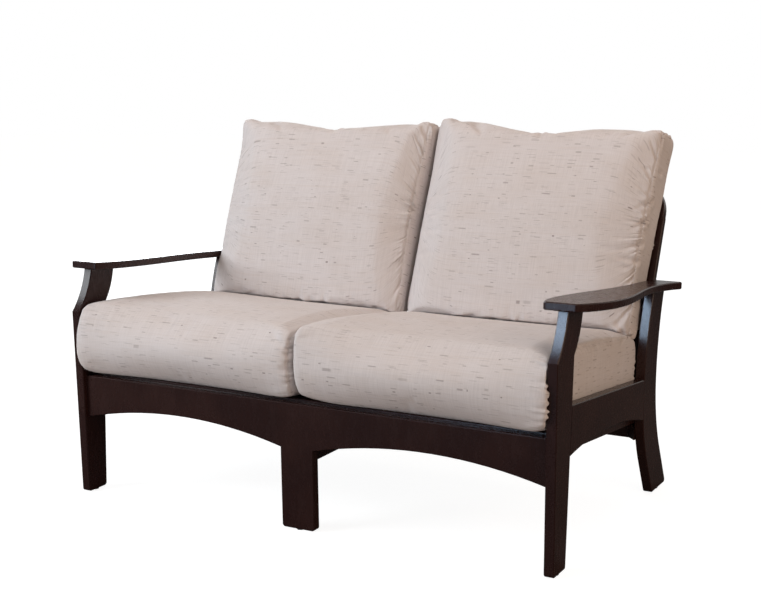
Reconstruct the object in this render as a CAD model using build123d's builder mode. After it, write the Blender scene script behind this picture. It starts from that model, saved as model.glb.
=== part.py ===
from build123d import *
from math import asin, atan, cos, radians, sin, sqrt, tan
import os

# Patio loveseat of polymer boards with four loose cushions.
# Lengths are millimetres and angles are degrees. +X is the right as seen from the front, +Y the back,
# +Z up.
# Pieces are drawn from the front face of the front legs and from the middle of the seat.
# At the end they all move together, so that the origin is the bottom centre of the whole.

# Boards
board = 25.4  # thickness of the legs, rails, apron and brace
thin_board = 19.0  # thickness of the arms, seat slats, back stiles and back slats
board_ease = 2.0  # bevelled edge of a shaped board
slat_ease = 2.0  # bevelled edge of a slat or stile
foot_round = 8.0  # rounded bottom corners of a leg

# Stance
leg_span = 1385.0  # across the outer faces of the legs
glide_height = 3.0  # the feet stand this far off the floor on their glides
glide_radius = 10.0

# Arms
arm_rise = 297.0  # from the deck to the top of the arm, above the front face of the front legs
arm_slope = 4.6
arm_ease = 2.5  # bevelled edge
arm_front = 42.0  # the front end stands this far behind the front face of the legs
arm_back_reach = 132.0  # from the foot of the back frame to the rear end
arm_corner = 9.0  # rounded corners of the outline
arm_notch_gap = 0.5  # round the stile that the arm is notched for
# Overhang past the outer face of the leg: front end, widest place, neck and rear end
arm_outer_overhangs = (26.0, 64.0, 42.0, 52.0)
arm_outer_shares = (0.0, 0.17, 0.56, 1.0)  # where these lie along the arm
# Overhang past the inner face of the leg: rear end, start of the straight part, bulge, front end
arm_inner_overhangs = (12.0, 12.0, 45.0, 28.0)
arm_inner_shares = (1.0, 0.76, 0.22, 0.0)

# Front legs
front_foot_width = 72.0
front_knee_width = 100.0
front_top_width = 91.0
knee_drop = 132.0  # from the top of the arm to the knee
knee_setback = 58.0  # how far the front edge moves back between the knee and the arm
knee_hollow = 8.5  # sagitta of the curved edges above the knee

# Rear legs
rear_waist_lead = 13.0  # from the foot of the back frame to the front edge at its most forward
rear_waist_width = 100.0
rear_waist_height_front = 285.0
rear_waist_height_back = 315.0
rear_bow_low_front = 390.0  # radii of the bowed edges below and above the waist
rear_bow_low_back = 410.0
rear_bow_high = 700.0
rear_splay = 28.0  # slope of the foot from upright

# Side rails
seat_rake = 5.9  # the seat falls this much towards the back
rail_rise = 60.5  # top edge above the deck, both measured above the front face of the front legs
rail_front_height = 129.5  # from that top edge to the lower edge at the front leg
rail_back_height = 171.5  # from that top edge to the lower edge at the rear leg
rail_arch_rise = 26.0

# Front apron with the centre leg
apron_setback = 12.0  # behind the front face of the front legs
apron_drop = 10.5  # from the deck to the top edge
apron_end_height = 115.5
apron_middle_height = 76.5
centre_leg_width = 95.0

# Rear rail and centre brace
rear_rail_setback = 24.0  # from the foot of the back frame to the front face of the rail
rear_rail_drop = 82.0  # from the deck, measured above the front face of the front legs
rear_rail_height = 90.0

# Seat deck
deck_height = 338.0  # top of the slats, measured above the front face of the front legs
seat_slat_count = 6
seat_slat_gap = 11.0
seat_slat_end_gap = 1.0  # between the end of a slat and the leg
deck_front_gap = 3.0  # between the apron and the first slat
cleat_height = 38.0
deck_back_gap = 13.0  # between the last slat and the rear rail

# Corner blocks
block_leg_front = 58.0
block_leg_back = 28.0
block_height = 38.0
block_drop = 8.0  # below the cleat

# Back frame, drawn in its own leaning plane
back_lean = 22.5
back_foot_depth = 613.0  # lower front edge of the back frame
back_foot_drop = 43.0  # from the deck, measured above the front face of the front legs
stile_width = 64.0
stile_length = 476.0
crest_height = 103.0
crest_corner = 90.0
crest_end_inset = 3.0  # from the end of the crest rail to the outer edge of the stile
lower_rail_height = 64.0
back_slat_count = 9
back_slat_width = 62.0
tenon_length = 14.0
tenon_thickness = 9.0
tenon_shoulder = 6.0  # from the edge of a slat to its tenon
tenon_gap = 0.25

# Angle brackets that hold the stiles to the rear legs
bracket_leg = 26.0
bracket_width = 28.0
bracket_thickness = 2.5
bracket_shares = (0.06, 0.24)  # along the stile

# Stub tenons on the legs, let into the arms from below
leg_tenon_height = 11.0
leg_tenon_shoulder = 12.0  # from the edge of the leg to the tenon

# Seat cushions, drawn in the plane of the deck
cushion_gap = 0.3  # between a cushion and what it rests on
cushion_parting = 1.6  # between two neighbouring cushions
seat_side_gap = 1.2  # between a seat cushion and the leg
seat_front = 2.0  # front seam, from the front face of the legs
seat_edge = 170.0  # height of the boxed side
seat_crown = 24.0  # rise of the top in the middle of the cushion
seat_nose = 24.0  # bulge of the front side
seat_tail = 14.0  # bulge of the rear side
seat_corner = 30.0  # rounded long edges
seat_end_round = 15.0  # rounding towards the ends

# Back cushions, drawn in the plane of the back frame
back_side_gap = 2.0  # between a back cushion and the arm
back_splay = 1.35  # the outer end leans outwards by this angle
back_rest_gap = 0.6  # over the crown of the seat cushion
rest_round_count = 12  # repeats that find the place where the gap is met
back_low_thickness = 108.0  # boxed side at the bottom
back_top_thickness = 96.0  # from the plane of the back frame to the top front seam
back_top_reach = 101.0  # top rear seam, above the crest
back_top_fall = 10.0  # the top front seam is this much lower along the back
back_hang = 20.0  # how far the top sinks back over the crest
back_hang_hollow = 4.0  # sagitta of the part that sinks back
back_crown = 38.0  # bulge of the front side in the middle
back_top_crown = 7.0  # bulge of the top side
back_ear = 16.0  # how far the upper corners stand above the middle
back_corner = 18.0
back_end_round = 12.0

# Stations along a cushion as shares of its width, and what each section takes of the
# end rounding, of the crowns and of the ears
station_shares = (0.0, 0.006, 0.02, 0.05, 0.2, 0.5, 0.8, 0.95, 0.98, 0.994, 1.0)
round_shares = (1.0, 0.55, 0.15, 0.0, 0.0, 0.0, 0.0, 0.0, 0.15, 0.55, 1.0)
seat_crown_shares = (0.5, 0.62, 0.78, 0.92, 1.0, 1.0, 1.0, 0.92, 0.78, 0.62, 0.5)
back_crown_shares = (0.25, 0.32, 0.42, 0.55, 0.9, 1.0, 0.9, 0.55, 0.42, 0.32, 0.25)
ear_shares = (0.6, 0.8, 0.95, 1.0, 0.5, 0.0, 0.5, 1.0, 0.95, 0.8, 0.6)

# Worked-out places
arm_height = deck_height + arm_rise
arm_back = back_foot_depth + arm_back_reach
rear_waist_front = back_foot_depth - rear_waist_lead
rear_rail_front = back_foot_depth + rear_rail_setback
knee_height = arm_height - knee_drop
rail_top = deck_height + rail_rise
rail_arch_front = rail_top - rail_front_height
rail_arch_back = rail_top - rail_back_height
apron_top = deck_height - apron_drop
apron_arch_foot = apron_top - apron_end_height
apron_arch_crown = apron_top - apron_middle_height
rear_rail_bottom = deck_height - rear_rail_drop - rear_rail_height
back_foot = (back_foot_depth, deck_height - back_foot_drop)
half_span = leg_span / 2
inner_face = half_span - board
apron_back = apron_setback + board
arm_tan = tan(radians(arm_slope))
rake_tan = tan(radians(seat_rake))
rear_waist_back = rear_waist_front + rear_waist_width

deck_plane = Plane(
    origin=(0, 0, deck_height),
    x_dir=(1, 0, 0),
    z_dir=(0, sin(radians(seat_rake)), cos(radians(seat_rake))),
)
arm_plane = Plane(
    origin=(0, 0, arm_height),
    x_dir=(1, 0, 0),
    z_dir=(0, sin(radians(arm_slope)), cos(radians(arm_slope))),
)
back_plane = Plane(
    origin=(0, back_foot[0], back_foot[1]),
    x_dir=(1, 0, 0),
    z_dir=(0, -cos(radians(back_lean)), sin(radians(back_lean))),
)
pieces = {}
glide_places = []


def keep(name, piece):
    """Label a finished piece and keep it for the export."""
    piece.part.label = name
    pieces[name] = piece.part


def board_plane(side):
    """The side plane on the inner face of the boards on one side."""
    return Plane.YZ.offset(side * inner_face)


def arm_underside(depth):
    """Height of the underside of the arm at a depth."""
    return arm_height - thin_board / cos(radians(arm_slope)) - arm_tan * depth


def slat_underside(depth):
    """Height of the underside of the seat slats at a depth."""
    return deck_height - thin_board / cos(radians(seat_rake)) - rake_tan * depth


def front_leg_back_edge(height):
    """Depth of the straight rear edge of the front leg at a height."""
    share = (height - glide_height) / (knee_height - glide_height)
    return front_foot_width + (front_knee_width - front_foot_width) * share


def rear_leg_front_edge(height):
    """Depth of the bowed front edge of the rear leg at a height near its waist."""
    rise = height - rear_waist_height_front
    radius = rear_bow_high if rise > 0 else rear_bow_low_front
    return rear_waist_front + radius - sqrt(radius**2 - rise**2)


def bow_point(waist, radius, turn):
    """Point on a bow that leaves its waist upright and has turned up, or down if negative."""
    return (waist[0] + radius * (1 - cos(turn)), waist[1] + radius * sin(turn))


def bow_top_turn(waist, radius):
    """Turn at which a bow reaches the underside of the arm."""
    reach = arm_underside(waist[0] + radius) - waist[1]
    return atan(arm_tan) + asin(reach / (radius * sqrt(1 + arm_tan**2)))


def bowed_edge(waist, radius_low, radius_high):
    """Points of a bowed edge from the floor to the arm: foot, low arc, waist and high arc."""
    splay = radians(rear_splay)
    low = bow_point(waist, radius_low, -splay)
    low_middle = bow_point(waist, radius_low, -splay / 2)
    foot = (low[0] + (low[1] - glide_height) * tan(splay), glide_height)
    turn = bow_top_turn(waist, radius_high)
    high_middle = bow_point(waist, radius_high, turn / 2)
    high = bow_point(waist, radius_high, turn)
    return foot, low, low_middle, waist, high_middle, high


rear_front_edge = bowed_edge(
    (rear_waist_front, rear_waist_height_front), rear_bow_low_front, rear_bow_high
)
rear_back_edge = bowed_edge(
    (rear_waist_back, rear_waist_height_back), rear_bow_low_back, rear_bow_high
)


def rear_leg_outline():
    """Outline of a rear leg in the side plane."""
    with BuildLine() as outline:
        for foot, low, low_middle, waist, high_middle, high in (rear_front_edge, rear_back_edge):
            Line(foot, low)
            ThreePointArc(low, low_middle, waist)
            ThreePointArc(waist, high_middle, high)
        Line(rear_front_edge[0], rear_back_edge[0])
        Line(rear_front_edge[-1], rear_back_edge[-1])
    return outline.edges()


def front_leg_outline():
    """Outline of a front leg in the side plane."""
    knee = (0, knee_height)
    back_knee = (front_knee_width, knee_height)
    top = (knee_setback, arm_underside(knee_setback))
    back_top_depth = knee_setback + front_top_width
    back_top = (back_top_depth, arm_underside(back_top_depth))
    with BuildLine() as outline:
        Line((0, glide_height), knee)
        SagittaArc(knee, top, -knee_hollow)
        Line(top, back_top)
        SagittaArc(back_top, back_knee, knee_hollow)
        Polyline(back_knee, (front_foot_width, glide_height), (0, glide_height))
    return outline.edges()


def below_arm(edges):
    """Edges that don't touch the underside of the arm."""
    return [edge for edge in edges if edge.center().Z < arm_underside(edge.center().Y) - slat_ease]


# Depth of the front and the rear end of a leg top
front_top_span = (knee_setback, knee_setback + front_top_width)
rear_top_span = (rear_front_edge[-1][0], rear_back_edge[-1][0])


def tenon_place(side, span):
    """Place of the tenon of a leg top in the plane of the arm."""
    middle = (span[0] + span[1]) / 2
    return side * (half_span - board / 2), middle / cos(radians(arm_slope))


def tenon_width(span):
    """Width of the tenon of a leg top."""
    return span[1] - span[0] - 2 * leg_tenon_shoulder


def rail_top_height(depth):
    """Height of the top edge of a side rail at a depth."""
    return rail_top - rake_tan * depth


def side_rail_outline():
    """Outline of a side rail, from the front leg to inside the rear leg."""
    arch_front = (front_leg_back_edge(rail_arch_front), rail_arch_front)
    arch_back = (rear_leg_front_edge(rail_arch_back), rail_arch_back)
    flare = (front_knee_width - front_foot_width) / (knee_height - glide_height)
    at_leg = front_foot_width + flare * (rail_top - glide_height)
    top_front_depth = at_leg / (1 + flare * rake_tan)
    hidden_depth = rear_waist_front + rear_waist_width / 2
    with BuildLine() as outline:
        SagittaArc(arch_front, arch_back, rail_arch_rise)
        Polyline(
            arch_back,
            (hidden_depth, rail_arch_back),
            (hidden_depth, rail_top_height(hidden_depth)),
            (top_front_depth, rail_top_height(top_front_depth)),
            arch_front,
        )
    return outline.edges()


def apron_outline():
    """Outline of the front apron with its centre leg, seen from the front."""
    half_leg = centre_leg_width / 2
    arch_middle = (half_leg + inner_face) / 2
    with BuildLine() as outline:
        for side in (-1, 1):
            Line((0, apron_top), (side * inner_face, apron_top))
            Line((side * inner_face, apron_top), (side * inner_face, apron_arch_foot))
            ThreePointArc(
                (side * inner_face, apron_arch_foot),
                (side * arch_middle, apron_arch_crown),
                (side * half_leg, apron_arch_foot),
            )
            Line((side * half_leg, apron_arch_foot), (side * half_leg, glide_height))
        Line((-half_leg, glide_height), (half_leg, glide_height))
    return outline.edges()


def arm_outline(side):
    """Outline of an arm in its own plane, a paddle that is widest near its front end."""
    length = arm_back - arm_front
    outer = [
        (side * (half_span + overhang), arm_front + length * share)
        for overhang, share in zip(arm_outer_overhangs, arm_outer_shares)
    ]
    inner = [
        (side * (inner_face - overhang), arm_front + length * share)
        for overhang, share in zip(arm_inner_overhangs, arm_inner_shares)
    ]
    with BuildLine() as outline:
        Line(inner[-1], outer[0])
        Spline(*outer)
        Polyline(outer[-1], inner[0], inner[1])
        Spline(*inner[1:], tangents=[(0, -1), (side, -2)])
    return outline.edges()


def outline_edges(part, direction):
    """Edges round the two faces of a board that look along a direction."""
    return part.faces().filter_by(Axis((0, 0, 0), direction)).edges()


# Places along the deck
deck_front = (apron_back + deck_front_gap) / cos(radians(seat_rake))
deck_back = (rear_rail_front - deck_back_gap) / cos(radians(seat_rake))
slat_pitch = (deck_back - deck_front + seat_slat_gap) / seat_slat_count
seat_slat_width = slat_pitch - seat_slat_gap
slat_middles = [
    deck_front + seat_slat_width / 2 + number * slat_pitch for number in range(seat_slat_count)
]
cleat_front = deck_front + (thin_board + cleat_height) * rake_tan


def bracket_places(side):
    """Middles of the brackets of one side, in the corner between the stile and the leg."""
    return [
        back_plane.location * Location((side * inner_face, stile_length * share, -thin_board))
        for share in bracket_shares
    ]


# Legs and side rails
for side, side_name in ((-1, "left"), (1, "right")):
    for leg_name, leg_outline, top_span in (
        ("front_leg_", front_leg_outline, front_top_span),
        ("rear_leg_", rear_leg_outline, rear_top_span),
    ):
        with BuildPart() as leg:
            with BuildSketch(board_plane(side)) as leg_sketch:
                make_face(leg_outline())
                fillet(leg_sketch.vertices().group_by(Axis.Y)[0], foot_round)
            extrude(amount=side * board)
            chamfer(below_arm(outline_edges(leg, (1, 0, 0))), board_ease)
            with BuildSketch(arm_plane.offset(leg_tenon_height - thin_board)):
                with Locations(tenon_place(side, top_span)):
                    Rectangle(tenon_thickness, tenon_width(top_span))
            extrude(amount=-2 * leg_tenon_height)
        glide_places.append(leg.faces().sort_by(Axis.Z)[0].center())
        keep(leg_name + side_name, leg)

    with BuildPart() as side_rail:
        with BuildSketch(board_plane(side)):
            make_face(side_rail_outline())
            make_face(rear_leg_outline(), mode=Mode.SUBTRACT)
        extrude(amount=side * board)
        rail_edges = outline_edges(side_rail, (1, 0, 0)).group_by(SortBy.LENGTH)
        chamfer(rail_edges[-1] + rail_edges[-2], board_ease)
    keep("side_rail_" + side_name, side_rail)

# Front apron, rear rail and centre brace
with BuildPart() as front_apron:
    with BuildSketch(Plane.XZ.offset(-apron_setback)) as apron_sketch:
        make_face(apron_outline())
        fillet(apron_sketch.vertices().group_by(Axis.Y)[0], foot_round)
    extrude(amount=-board)
    apron_ends = outline_edges(front_apron, (0, 1, 0))
    chamfer([edge for edge in apron_ends if abs(edge.center().X) < inner_face - board_ease], board_ease)
glide_places.append(front_apron.faces().sort_by(Axis.Z)[0].center())
keep("front_apron", front_apron)

with BuildPart() as rear_rail:
    with BuildSketch(Plane.XZ.offset(-rear_rail_front)):
        with Locations((0, rear_rail_bottom + rear_rail_height / 2)):
            Rectangle(2 * inner_face, rear_rail_height)
    extrude(amount=-board)
    chamfer(rear_rail.edges().filter_by(Axis.X), board_ease)
keep("rear_rail", rear_rail)

with BuildPart() as centre_brace:
    with BuildSketch(Plane.YZ.offset(-board / 2)):
        with BuildLine():
            Polyline(
                (apron_back, rear_rail_bottom),
                (rear_rail_front, rear_rail_bottom),
                (rear_rail_front, slat_underside(rear_rail_front)),
                (apron_back, slat_underside(apron_back)),
                close=True,
            )
        make_face()
    extrude(amount=board)
keep("centre_brace", centre_brace)

# Seat deck: cleats along the sides and slats across them
for side, side_name in ((-1, "left"), (1, "right")):
    with BuildPart() as seat_cleat:
        with BuildSketch(deck_plane.offset(-thin_board)):
            with Locations((side * (inner_face - board / 2), (cleat_front + deck_back) / 2)):
                Rectangle(board, deck_back - cleat_front)
        extrude(amount=-cleat_height)
    keep("seat_cleat_" + side_name, seat_cleat)

for number, along in enumerate(slat_middles, start=1):
    with BuildPart() as seat_slat:
        with BuildSketch(deck_plane):
            with Locations((0, along)):
                Rectangle(2 * (inner_face - seat_slat_end_gap), seat_slat_width)
        extrude(amount=-thin_board)
        chamfer(seat_slat.edges().filter_by(Axis.X), slat_ease)
    keep("seat_slat_" + str(number), seat_slat)

# Corner blocks that tie the apron and the rear rail to the legs
for side, side_name in ((-1, "left"), (1, "right")):
    for row_name, wall, reach in (
        ("front_corner_block_", apron_back, block_leg_front),
        ("rear_corner_block_", rear_rail_front, -block_leg_back),
    ):
        block_top = slat_underside(wall) - cleat_height / cos(radians(seat_rake)) - block_drop
        with BuildPart() as corner_block:
            with BuildSketch(Plane.XY.offset(block_top)):
                with BuildLine():
                    Polyline(
                        (side * inner_face, wall),
                        (side * (inner_face - abs(reach)), wall),
                        (side * inner_face, wall + reach),
                        close=True,
                    )
                make_face()
            extrude(amount=-block_height)
        keep(row_name + side_name, corner_block)

# Arms
for side, side_name in ((-1, "left"), (1, "right")):
    with BuildPart() as arm:
        with BuildSketch(arm_plane) as arm_sketch:
            make_face(arm_outline(side))
            corners = arm_sketch.vertices().group_by(Axis.Y)
            fillet(corners[0] + corners[-1].sort_by(Axis.X)[:: side][1:], arm_corner)
        extrude(amount=-thin_board)
        chamfer(outline_edges(arm, arm_plane.z_dir), arm_ease)
        with BuildSketch(back_plane.offset(arm_notch_gap)):
            with Locations((side * (inner_face - stile_width / 2 + arm_notch_gap), stile_length / 2)):
                Rectangle(stile_width, 2 * stile_length)
        extrude(amount=-2 * thin_board - board, mode=Mode.SUBTRACT)
        with BuildSketch(arm_plane.offset(leg_tenon_height + tenon_gap - thin_board)):
            for span in (front_top_span, rear_top_span):
                with Locations(tenon_place(side, span)):
                    Rectangle(tenon_thickness + 2 * tenon_gap, tenon_width(span) + 2 * tenon_gap)
        extrude(amount=-thin_board, mode=Mode.SUBTRACT)
    keep("arm_" + side_name, arm)

# Back frame: stiles and slats tenoned into a crest rail and a lower rail
back_inner = inner_face - stile_width
slat_space = (2 * back_inner - back_slat_count * back_slat_width) / (back_slat_count + 1)
back_slat_middles = [
    -back_inner + slat_space + back_slat_width / 2 + number * (back_slat_width + slat_space)
    for number in range(back_slat_count)
]
stile_middle = inner_face - stile_width / 2
tenon_drop = (thin_board - tenon_thickness) / 2
tenon_plane = back_plane.offset(-tenon_drop)
mortise_plane = back_plane.offset(tenon_gap - tenon_drop)
mortise_depth = tenon_length + tenon_gap
slat_mortise = back_slat_width - 2 * tenon_shoulder + 2 * tenon_gap
stile_mortise = stile_width - 2 * tenon_shoulder + 2 * tenon_gap
rail_mortise = lower_rail_height - 2 * tenon_shoulder + 2 * tenon_gap

with BuildPart() as crest_rail:
    with BuildSketch(back_plane) as crest_sketch:
        with Locations((0, stile_length + crest_height / 2)):
            Rectangle(2 * (inner_face - crest_end_inset), crest_height)
        fillet(crest_sketch.vertices().group_by(Axis.Y)[-1], crest_corner)
    extrude(amount=-board)
    chamfer(outline_edges(crest_rail, back_plane.z_dir), board_ease)
    with BuildSketch(mortise_plane):
        with Locations(*[(across, stile_length + mortise_depth / 2) for across in back_slat_middles]):
            Rectangle(slat_mortise, mortise_depth)
        with Locations(*[(side * stile_middle, stile_length + mortise_depth / 2) for side in (-1, 1)]):
            Rectangle(stile_mortise, mortise_depth)
    extrude(amount=-tenon_thickness - 2 * tenon_gap, mode=Mode.SUBTRACT)
keep("crest_rail", crest_rail)

with BuildPart() as lower_back_rail:
    with BuildSketch(back_plane):
        with Locations((0, lower_rail_height / 2)):
            Rectangle(2 * back_inner, lower_rail_height)
    extrude(amount=-board)
    chamfer(lower_back_rail.edges().filter_by(Axis.X), board_ease)
    with BuildSketch(tenon_plane):
        with Locations((0, lower_rail_height / 2)):
            Rectangle(2 * (back_inner + tenon_length), lower_rail_height - 2 * tenon_shoulder)
    extrude(amount=-tenon_thickness)
    with BuildSketch(mortise_plane):
        with Locations(*[(across, lower_rail_height - mortise_depth / 2) for across in back_slat_middles]):
            Rectangle(slat_mortise, mortise_depth)
    extrude(amount=-tenon_thickness - 2 * tenon_gap, mode=Mode.SUBTRACT)
keep("lower_back_rail", lower_back_rail)

for side, side_name in ((-1, "left"), (1, "right")):
    with BuildPart() as back_stile:
        with BuildSketch(back_plane):
            with Locations((side * stile_middle, stile_length / 2)):
                Rectangle(stile_width, stile_length)
        extrude(amount=-thin_board)
        chamfer(back_stile.edges().group_by(SortBy.LENGTH)[-1], slat_ease)
        with BuildSketch(tenon_plane):
            with Locations((side * stile_middle, stile_length)):
                Rectangle(stile_width - 2 * tenon_shoulder, 2 * tenon_length)
        extrude(amount=-tenon_thickness)
        with BuildSketch(mortise_plane):
            with Locations((side * (back_inner + mortise_depth / 2), lower_rail_height / 2)):
                Rectangle(mortise_depth, rail_mortise)
        extrude(amount=-tenon_thickness - 2 * tenon_gap, mode=Mode.SUBTRACT)
    keep("back_stile_" + side_name, back_stile)

slat_foot = lower_rail_height
for number, across in enumerate(back_slat_middles, start=1):
    with BuildPart() as back_slat:
        with BuildSketch(back_plane):
            with Locations((across, (slat_foot + stile_length) / 2)):
                Rectangle(back_slat_width, stile_length - slat_foot)
        extrude(amount=-thin_board)
        chamfer(back_slat.edges().group_by(SortBy.LENGTH)[-1], slat_ease)
        with BuildSketch(tenon_plane):
            with Locations((across, (slat_foot + stile_length) / 2)):
                Rectangle(back_slat_width - 2 * tenon_shoulder, stile_length - slat_foot + 2 * tenon_length)
        extrude(amount=-tenon_thickness)
    keep("back_slat_" + str(number), back_slat)

# Angle brackets and glides
with BuildPart() as stile_brackets:
    for side in (-1, 1):
        with Locations(*bracket_places(side)):
            Box(
                bracket_leg,
                bracket_width,
                bracket_thickness,
                align=(Align.MAX if side > 0 else Align.MIN, Align.CENTER, Align.MAX),
            )
            Box(
                bracket_thickness,
                bracket_width,
                bracket_leg,
                align=(Align.MAX if side > 0 else Align.MIN, Align.CENTER, Align.MAX),
            )
keep("stile_brackets", stile_brackets)

with BuildPart() as leg_glides:
    with Locations(*[Location((place.X, place.Y, 0)) for place in glide_places]):
        Cylinder(glide_radius, glide_height, align=(Align.CENTER, Align.CENTER, Align.MIN))
keep("leg_glides", leg_glides)


# Cushions
relative_lean = radians(back_lean - seat_rake)


def to_deck(depth, height):
    """Depth and height as distances along and above the deck."""
    rake = radians(seat_rake)
    drop = height - deck_height
    return depth * cos(rake) - drop * sin(rake), depth * sin(rake) + drop * cos(rake)


def from_back(along, proud):
    """Depth and height of a point along the back frame and in front of it."""
    lean = radians(back_lean)
    return (
        back_foot[0] + along * sin(lean) - proud * cos(lean),
        back_foot[1] + along * cos(lean) + proud * sin(lean),
    )


# The bulging rear side of a seat cushion just meets the plane of the back frame.
seat_half_edge = (seat_edge - cushion_gap) / 2
seat_tail_radius = (seat_half_edge**2 + seat_tail**2) / (2 * seat_tail)
foot_along, foot_above = to_deck(*back_foot)
plane_depth = foot_along + (cushion_gap + seat_half_edge - foot_above) * tan(relative_lean)
seat_back = (
    plane_depth
    - (seat_tail_radius + cushion_gap) / cos(relative_lean)
    + seat_tail_radius
    - seat_tail
)
seat_half_length = (seat_back - seat_front) / 2
seat_crown_radius = (seat_half_length**2 + seat_crown**2) / (2 * seat_crown)


def seat_top(along):
    """Height of the crown of a seat cushion above the deck."""
    offset = along - seat_front - seat_half_length
    return seat_edge + seat_crown - seat_crown_radius + sqrt(seat_crown_radius**2 - offset**2)


# The underside of a back cushion lies along the deck and just clears the crown below it.
rest_proud = back_low_thickness - back_corner
rest_along = lower_rail_height
for _ in range(rest_round_count):
    along, above = to_deck(*from_back(rest_along, rest_proud))
    rest_along += (seat_top(along) + back_rest_gap - above) / cos(relative_lean)


def back_underside(proud):
    """Where the underside of a back cushion lies along the back frame."""
    return rest_along + (rest_proud - proud) * tan(relative_lean)


def seat_section(inset, crown):
    """Edges of a section through a seat cushion, inset at its rounded ends."""
    front = seat_front + inset
    back = seat_back - inset
    low = cushion_gap + inset
    high = seat_edge - inset
    with BuildLine() as section:
        SagittaArc((front, low), (front, high), seat_nose * crown)
        SagittaArc((front, high), (back, high), seat_crown * crown)
        SagittaArc((back, high), (back, low), seat_tail * crown)
        Line((back, low), (front, low))
    return section.edges()


def back_section(inset, crown, ear):
    """Edges of a section through a back cushion, inset at its rounded ends."""
    rear = cushion_gap + inset
    crest = stile_length + crest_height
    low_rear = (back_underside(rear) + inset, rear)
    low_front_proud = back_low_thickness - inset
    low_front = (back_underside(low_front_proud) + inset, low_front_proud)
    top_rear = (crest + back_top_reach + back_ear * ear - inset, inset - back_hang)
    top_front = (top_rear[0] - back_top_fall, back_top_thickness - inset)
    with BuildLine() as section:
        Line(low_rear, (crest, rear))
        SagittaArc((crest, rear), top_rear, back_hang_hollow)
        SagittaArc(top_rear, top_front, -back_top_crown * crown)
        SagittaArc(top_front, low_front, -back_crown * crown)
        Line(low_front, low_rear)
    return section.edges()


seat_half = inner_face - seat_side_gap
beside_arm = (arm_height - arm_tan * arm_back - back_foot[1]) / cos(radians(back_lean))
back_half = (
    inner_face - arm_inner_overhangs[0] - back_side_gap - beside_arm * tan(radians(back_splay))
)
parting = cushion_parting / 2
for side, side_name in ((-1, "left"), (1, "right")):
    with BuildPart() as seat_cushion:
        for station, end, crown in zip(station_shares, round_shares, seat_crown_shares):
            across = side * (parting + (seat_half - parting) * station)
            section_plane = Plane(origin=(across, 0, deck_height), x_dir=deck_plane.y_dir, z_dir=(1, 0, 0))
            with BuildSketch(section_plane) as seat_sketch:
                make_face(seat_section(seat_end_round * end, crown))
                fillet(seat_sketch.vertices(), seat_corner)
        loft(ruled=True)
    keep("seat_cushion_" + side_name, seat_cushion)

    with BuildPart() as back_cushion:
        for station, end, crown, ear in zip(
            station_shares, round_shares, back_crown_shares, ear_shares
        ):
            across = side * (parting + (back_half - parting) * station)
            turn = side * radians(back_splay) * station
            up = back_plane.y_dir * cos(turn) + back_plane.x_dir * sin(turn)
            section_plane = Plane(
                origin=(across, back_foot[0], back_foot[1]),
                x_dir=up,
                z_dir=up.cross(back_plane.z_dir),
            )
            with BuildSketch(section_plane) as back_sketch:
                make_face(back_section(back_end_round * end, crown, ear))
                corners = back_sketch.vertices().sort_by(Axis.X)
                fillet(corners[:2] + corners[-2:], back_corner)
        loft(ruled=True)
    keep("back_cushion_" + side_name, back_cushion)

# The whole moves so that the origin is the bottom centre of its box
box = Compound(list(pieces.values())).bounding_box()
centring = Location((0, -box.center().Y, 0))
os.makedirs("parts", exist_ok=True)
for name, piece in pieces.items():
    placed = piece.moved(centring)
    placed.label = name
    export_step(placed, "parts/" + name + ".step")
print("front face of the front legs at y =", -box.center().Y)
print("overall size", box.size)
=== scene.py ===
"""A patio loveseat: finishes for the built frame, four filled cushions and a plain studio."""

from math import cos, pi, radians, sin
from random import Random
from typing import NamedTuple

import bpy
import numpy as np
from mathutils import Matrix, Vector
from mathutils.bvhtree import BVHTree


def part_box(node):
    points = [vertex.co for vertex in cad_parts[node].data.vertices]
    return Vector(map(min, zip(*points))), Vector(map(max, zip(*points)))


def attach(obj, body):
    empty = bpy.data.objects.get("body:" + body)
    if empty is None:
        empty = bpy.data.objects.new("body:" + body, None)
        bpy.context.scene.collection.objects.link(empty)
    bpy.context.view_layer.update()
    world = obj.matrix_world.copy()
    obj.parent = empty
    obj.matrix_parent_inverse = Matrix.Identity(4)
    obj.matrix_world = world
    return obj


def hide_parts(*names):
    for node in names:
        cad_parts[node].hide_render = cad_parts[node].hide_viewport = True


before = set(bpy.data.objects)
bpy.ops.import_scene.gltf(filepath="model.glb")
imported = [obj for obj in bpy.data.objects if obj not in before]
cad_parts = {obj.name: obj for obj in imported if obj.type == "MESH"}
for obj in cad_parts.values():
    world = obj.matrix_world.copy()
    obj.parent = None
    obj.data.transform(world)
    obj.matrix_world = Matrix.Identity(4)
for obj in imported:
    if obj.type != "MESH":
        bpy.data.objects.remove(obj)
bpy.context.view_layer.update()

bl_info = {
    "name": "Patio loveseat",
    "version": (1, 0, 0),
    "blender": (4, 5, 0),
    "location": "3D View > Sidebar > Loveseat",
    "description": "Finishes, cushions and studio of a two-seat patio sofa",
    "category": "Object",
}

MM = 0.001
POLYMER_NODES = [
    name
    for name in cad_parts
    if "cushion" not in name and name not in ("stile_brackets", "leg_glides")
]
SIDES = ("left", "right")
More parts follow.
